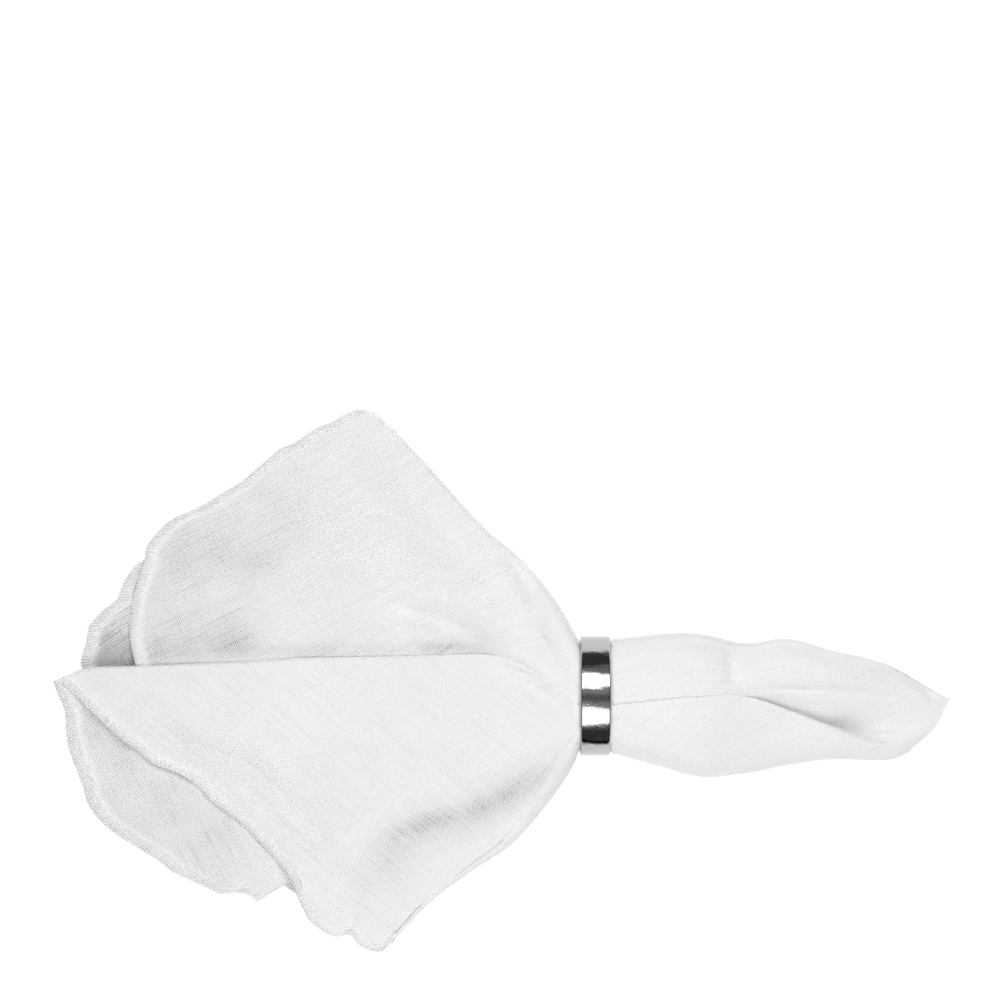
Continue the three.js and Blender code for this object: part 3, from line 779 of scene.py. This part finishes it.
stitchMesh = bpy.data.meshes.new_from_object(stitchHolder.evaluated_get(depsgraph))
bpy.data.objects.remove(stitchHolder)
overlockEdge = bpy.data.objects.new("overlockEdge", stitchMesh)
pieces.link(overlockEdge)
print("overlock stitches", stitchCount, "faces", len(stitchMesh.polygons))

# Ring: a plain band, turned from its four-cornered section, its edges rounded
band = {"steps": 160, "wall": 1.2, "outerEdge": 0.75, "innerEdge": 0.25, "edgeSteps": 6, "cornerAngle": 1}
outerRadius = (ringHigh.z - ringLow.z) / 2
innerRadius = outerRadius - band["wall"] / 1000
bandMesh = bmesh.new()
section = []
for x, radius in (
    (ringLow.x, outerRadius), (ringHigh.x, outerRadius), (ringHigh.x, innerRadius), (ringLow.x, innerRadius),
):
    section.append(bandMesh.verts.new((x, ringCentre.y, ringCentre.z + radius)))
edges = [bandMesh.edges.new((section[i], section[(i + 1) % 4])) for i in range(4)]
bmesh.ops.spin(
    bandMesh, geom=section + edges, cent=ringCentre, axis=(1, 0, 0), angle=2 * math.pi,
    steps=band["steps"], use_merge=True,
)
bmesh.ops.remove_doubles(bandMesh, verts=bandMesh.verts, dist=1e-6)
bmesh.ops.recalc_face_normals(bandMesh, faces=bandMesh.faces)
middleRadius = (outerRadius + innerRadius) / 2
for edgeName, outside in (("outerEdge", True), ("innerEdge", False)):
    corners = []
    for edge in bandMesh.edges:
        place = (edge.verts[0].co + edge.verts[1].co) / 2 - ringCentre
        onRim = len(edge.link_faces) == 2 and edge.calc_face_angle() > band["cornerAngle"]
        if onRim and (math.hypot(place.y, place.z) > middleRadius) == outside:
            corners.append(edge)
    bmesh.ops.bevel(
        bandMesh, geom=corners, offset=band[edgeName] / 1000, offset_type="OFFSET", affect="EDGES",
        segments=band["edgeSteps"], profile=0.5, material=-1, clamp_overlap=True,
    )
ringBand = addPiece("ringBand", bandMesh)
print("ring faces", len(ringBand.data.polygons))

# Washed white linen, loose plain weave: dull, a little see-through between uneven threads, with painted shade
# in the gaps between them.
# Real threads are about 0.55 mm apart; they are drawn 0.7 mm apart so that they show in the picture.
# gap and shadedOpenGap are painted shade seen between the threads; shadedThread is painted shade on the
# threads; crownShadeShare is how much painted shade the weave's relief gets
linenLook = {
    "thread": "#f7f7f7", "shade": "#ebebeb", "gap": "#d9d9d9", "shadedOpenGap": "#808080", "shadedThread": "#d2d2d2",
    "pitch": 0.7, "bends": [(50, 2.5), (2.5, 0.2)],  # length and size in mm of slow drift and wobble
    "slubLength": 30, "warpSwell": (0.3, 0.7), "weftSwell": (0, 1), "crossing": 0.4,
    "fleck": 0.6, "fleckShare": 0.4, "mostOpen": 0.95, "gapWidth": 0.3, "gapOpens": 0.2, "gapSoft": 0.16,
    "gapAlpha": 0.75, "crownShadeShare": 0.6, "threadShadeShare": 0.55, "rough": 0.85, "bump": 0.4, "relief": 0.0003,
}
linen, tree = newMaterial("washed white linen")
weaveMap = addNode(tree, "UVMap", {"uv_map": "weave"})
laid = weaveMap
for length, size in linenLook["bends"]:  # threads are never quite straight
    bend = addNode(tree, "TexNoise", {"Scale": 1 / length, "Detail": 2.0}, {"Vector": weaveMap})
    centred = addNode(tree, "VectorMath", {"operation": "SUBTRACT", 1: (0.5, 0.5, 0.5)},
                      {0: bend.outputs["Color"]})
    sized = addNode(tree, "VectorMath", {"operation": "SCALE", "Scale": size * 2}, {0: centred})
    laid = addNode(tree, "VectorMath", {"operation": "ADD"}, {0: laid, 1: sized})
threads = addNode(tree, "VectorMath", {"operation": "SCALE", "Scale": math.pi / linenLook["pitch"]},
                  {0: laid})
across = addNode(tree, "SeparateXYZ", {}, {0: threads})
sines = [addNode(tree, "Math", {"operation": "SINE"}, {0: across.outputs[axis]}) for axis in "XY"]
over = addNode(tree, "Math", {"operation": "MULTIPLY"}, {0: sines[0], 1: sines[1]})
# slubs: threads swell and thin along their length, each on its own, the warp less than the weft
alongThread, acrossThread = 1 / linenLook["slubLength"], 1 / linenLook["pitch"]
bodies, tops, swells = [], [], []
for sine, stretch, swell, crossing in (
    (sines[0], (acrossThread, alongThread, 0), linenLook["warpSwell"], linenLook["crossing"]),
    (sines[1], (alongThread, acrossThread, 0), linenLook["weftSwell"], -linenLook["crossing"]),
):
    thread = addNode(tree, "Math", {"operation": "ABSOLUTE"}, {0: sine})
    drawn = addNode(tree, "VectorMath", {"operation": "MULTIPLY", 1: stretch}, {0: laid})
    slub = addNode(tree, "TexNoise", {"Scale": 1.0, "Detail": 3.0, "Roughness": 0.6}, {"Vector": drawn})
    swells.append(addNode(tree, "MapRange", {"To Min": swell[0], "To Max": swell[1]},
                          {"Value": slub.outputs["Fac"]}))
    bodies.append(addNode(tree, "Math", {"operation": "MULTIPLY"}, {0: thread, 1: swells[-1]}))
    rise = addNode(tree, "Math", {"operation": "MULTIPLY_ADD", 1: crossing, 2: 1.0}, {0: over})
    tops.append(addNode(tree, "Math", {"operation": "MULTIPLY"}, {0: bodies[-1], 1: rise}))
weaveHeight = addNode(tree, "Math", {"operation": "MAXIMUM"}, {0: tops[0], 1: tops[1]})
even = addNode(tree, "Math", {"operation": "MAXIMUM"}, {0: bodies[0], 1: bodies[1]})
slubs = addNode(tree, "Math", {"operation": "ADD"}, {0: swells[0], 1: swells[1]})
# gaps between threads, wider where the weave is opened; their grey is painted shade, darker where
# sheerAndShade is high
sheerAndShade = addNode(tree, "Attribute", {"attribute_name": "sheerAndShade"}).outputs["Fac"]
fleck = addNode(tree, "TexNoise", {"Scale": 1 / linenLook["fleck"], "Detail": 2.0}, {"Vector": laid})
cover = addNode(tree, "Math", {"operation": "MULTIPLY_ADD", 1: linenLook["fleckShare"]},
                {0: fleck.outputs["Fac"], 2: even})
opened = addNode(tree, "Math", {"operation": "MINIMUM", 1: linenLook["mostOpen"]}, {0: sheerAndShade})
gapEdge = addNode(tree, "Math", {
    "operation": "MULTIPLY_ADD", 1: linenLook["gapOpens"], 2: linenLook["gapWidth"],
}, {0: opened})
gapFar = addNode(tree, "Math", {"operation": "ADD", 1: linenLook["gapSoft"]}, {0: gapEdge})
onThread = addNode(tree, "MapRange", {"interpolation_type": "SMOOTHSTEP"},
                   {"Value": cover, "From Min": gapEdge, "From Max": gapFar})
alpha = addNode(tree, "MapRange", {"To Min": linenLook["gapAlpha"], "To Max": 1.0}, {"Value": onThread})
# threads are lighter where they rise, painted shade of the weave's relief, and where they swell, their own
# tone; greyer with painted shade where sheerAndShade is high
crownShade = addNode(tree, "MapRange", {"From Min": 0.25, "From Max": 0.75}, {"Value": weaveHeight})
threadTone = addNode(tree, "MapRange", {"From Min": 0.5, "From Max": 1.5}, {"Value": slubs})
toneMix = addNode(tree, "Math", {"operation": "MULTIPLY_ADD", 1: linenLook["crownShadeShare"]},
                  {0: crownShade, 2: threadTone})
threadColour = addNode(tree, "Mix", {
    "data_type": "RGBA", "A": linear(linenLook["shade"]), "B": linear(linenLook["thread"]),
}, {"Factor": toneMix})
# painted shade on the threads where sheerAndShade is high
threadShading = addNode(tree, "Math", {"operation": "MULTIPLY", 1: linenLook["threadShadeShare"]}, {0: sheerAndShade})
shadedThreadColour = addNode(tree, "Mix", {"data_type": "RGBA", "B": linear(linenLook["shadedThread"])},
                     {"Factor": threadShading, "A": threadColour.outputs["Result"]})
# painted shade in the gaps, from light grey to dark grey as sheerAndShade grows
gapShadeColour = addNode(tree, "Mix", {
    "data_type": "RGBA", "A": linear(linenLook["gap"]), "B": linear(linenLook["shadedOpenGap"]),
}, {"Factor": sheerAndShade})
colour = addNode(tree, "Mix", {"data_type": "RGBA"}, {
    "Factor": onThread, "A": gapShadeColour.outputs["Result"], "B": shadedThreadColour.outputs["Result"],
})
bump = addNode(tree, "Bump", {"Strength": linenLook["bump"], "Distance": linenLook["relief"]},
               {"Height": weaveHeight})
cloth = addNode(tree, "BsdfPrincipled", {
    "Roughness": linenLook["rough"], "IOR": 1.5, "Specular IOR Level": 0.25, "Sheen Weight": 0.2,
    "Sheen Roughness": 0.5,
}, {"Base Color": colour.outputs["Result"], "Alpha": alpha, "Normal": bump})
addNode(tree, "OutputMaterial", {}, {"Surface": cloth})
napkinSheet.data.materials.append(linen)

# Spun white sewing thread, a touch brighter than the linen
threadLook = {"colour": "#ffffff", "shade": "#efefee", "twist": 0.6, "rough": 0.7}
sewing, tree = newMaterial("spun white sewing thread")
place = addNode(tree, "TexCoord").outputs["Object"]
twist = addNode(tree, "TexNoise", {"Scale": 1000 / threadLook["twist"], "Detail": 2.0}, {"Vector": place})
colour = addNode(tree, "Mix", {
    "data_type": "RGBA", "A": linear(threadLook["shade"]), "B": linear(threadLook["colour"]),
}, {"Factor": twist.outputs["Fac"]})
thread = addNode(tree, "BsdfPrincipled", {
    "Roughness": threadLook["rough"], "Specular IOR Level": 0.3, "Sheen Weight": 0.2,
}, {"Base Color": colour.outputs["Result"]})
addNode(tree, "OutputMaterial", {}, {"Surface": thread})
stitchMesh.materials.clear()
stitchMesh.materials.append(sewing)

# Chromed steel, polished to a mirror: a band is never quite even, and fine polishing marks break up its edges
chromeLook = {  # unevenness, grain and smear in mm
    "colour": "#b6b6b8", "rough": 0.04, "smearRough": 0.06, "unevenness": 7, "grain": 0.6, "grainShare": 0.12,
    "smear": 3, "bump": 0.35, "relief": 0.001,
}
chrome, tree = newMaterial("polished chromed steel")
place = addNode(tree, "TexCoord").outputs["Object"]
bulges, grain, smear = (
    addNode(tree, "TexNoise", {"Scale": 1000 / chromeLook[size], "Detail": detail}, {"Vector": place})
    for size, detail in (("unevenness", 1.0), ("grain", 2.0), ("smear", 4.0))
)
gloss = addNode(tree, "MapRange", {
    "To Min": chromeLook["rough"], "To Max": chromeLook["rough"] + chromeLook["smearRough"],
    "From Min": 0.35, "From Max": 0.8,
}, {"Value": smear.outputs["Fac"]})
relief = addNode(tree, "Math", {"operation": "MULTIPLY_ADD", 1: chromeLook["grainShare"]},
                 {0: grain.outputs["Fac"], 2: bulges.outputs["Fac"]})
waviness = addNode(tree, "Bump", {"Strength": chromeLook["bump"], "Distance": chromeLook["relief"]},
                   {"Height": relief})
steel = addNode(tree, "BsdfPrincipled", {"Metallic": 1.0, "Base Color": linear(chromeLook["colour"])},
                {"Roughness": gloss, "Normal": waviness})
addNode(tree, "OutputMaterial", {}, {"Surface": steel})
ringBand.data.materials.append(chrome)
print("materials", linen.name, sewing.name, chrome.name, sep=", ")

for piece, slotName in ((napkinSheet, "linen"), (overlockEdge, "linen"), (ringBand, "polished_steel")):
    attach(piece, "root")
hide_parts("napkin")
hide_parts("ring")
side = napkin["flat"]

# Studio: white table, long soft boxes to both sides with a dim halo round each, low fill for the cloth alone,
# a dim board above and a dark room round it for the ring to mirror
studio = {
    "floor": "#8c8c8c", "glow": 0.83, "floorSize": 4, "floorDrop": 0.0004, "felt": "#101010",
    "cards": {"farCard": 0.3, "nearCard": -0.148}, "cardSize": 1.2,  # cards by where they start
    "dark": "#5a5a5c", "darkPower": 0.5, "backdrop": "#f4f4f4",
}
lamps = {  # tilt in degrees, distance, length and width in metres, power in watts
    "farBox": (33, 1.15, 1.7, 0.57, 10.2),
    "nearBox": (-38, 1.15, 1.7, 0.74, 9.1),
    "farHalo": (33, 1.15, 1.7, 1.15, 1.3),
    "nearHalo": (-38, 1.15, 1.7, 1.15, 1.3),
    "farFill": (78, 1.15, 1.7, 0.45, 2),
    "nearFill": (-78, 1.15, 1.7, 0.45, 2),
    "board": (0, 2.4, 2.0, 2.0, 1.2),
}
floorMesh = bmesh.new()
bmesh.ops.create_grid(floorMesh, x_segments=1, y_segments=1, size=studio["floorSize"])
floor = addPiece("tableTop", floorMesh)
floor.location.z = ringLow.z - studio["floorDrop"]
paint, tree = newMaterial("white table paint")
matt = addNode(tree, "BsdfPrincipled", {
    "Base Color": linear(studio["floor"]), "Roughness": 0.9, "Emission Color": (1, 1, 1, 1),
    "Emission Strength": studio["glow"],
})
addNode(tree, "OutputMaterial", {}, {"Surface": matt})
floor.data.materials.append(paint)
# dark cards beyond the table's edges, seen by the ring alone, so that its bars end where the table does
felt, tree = newMaterial("black felt")
dull = addNode(tree, "BsdfDiffuse", {"Color": linear(studio["felt"])})
addNode(tree, "OutputMaterial", {}, {"Surface": dull})
for cardName, near in studio["cards"].items():
    cardMesh = bmesh.new()
    middle = near + math.copysign(studio["cardSize"], near)
    bmesh.ops.create_grid(cardMesh, x_segments=1, y_segments=1, size=studio["cardSize"])
    bmesh.ops.translate(cardMesh, vec=(ringCentre.x, ringCentre.y + middle, ringLow.z), verts=cardMesh.verts)
    card = addPiece(cardName, cardMesh)
    card.data.materials.append(felt)
    card.visible_camera = card.visible_diffuse = card.visible_shadow = card.visible_transmission = False
for lampName, (degrees, distance, long, wide, power) in lamps.items():
    lamp = bpy.data.lights.new(lampName, "AREA")
    lamp.shape = "RECTANGLE"
    lamp.size, lamp.size_y, lamp.energy = long, wide, power
    box = bpy.data.objects.new(lampName, lamp)
    tilt = math.radians(degrees)
    box.location = ringCentre + Vector((0, math.sin(tilt), math.cos(tilt))) * distance
    box.rotation_euler = (-tilt, 0, 0)
    box.visible_camera = False
    box.visible_glossy = "Fill" not in lampName
    pieces.link(box)
world = bpy.data.worlds.new("studioRoom")
tree = clearNodes(world)
seen = addNode(tree, "LightPath")
room = addNode(tree, "Background", {"Color": linear(studio["dark"]), "Strength": studio["darkPower"]})
paper = addNode(tree, "Background", {"Color": linear(studio["backdrop"])})
both = addNode(tree, "MixShader", {}, {0: seen.outputs["Is Camera Ray"], 1: room, 2: paper})
addNode(tree, "OutputWorld", {}, {"Surface": both})
bpy.context.scene.world = world
bpy.context.scene.view_settings.view_transform = "Standard"

# Camera straight above, long lens; the picture is 354 mm wide at the table
view = {"width": 0.354, "lens": 200, "sensor": 36, "offset": (-0.03345, 0.06903), "focusHeight": 0.012}
camera = bpy.data.cameras.new("camera")
camera.lens = view["lens"]
camera.sensor_width = view["sensor"]
cameraHolder = bpy.data.objects.new("camera", camera)
pieces.link(cameraHolder)
height = view["width"] * view["lens"] / view["sensor"] + view["focusHeight"]
cameraHolder.location = (ringCentre.x + view["offset"][0], ringCentre.y + view["offset"][1], height)
bpy.context.scene.camera = cameraHolder
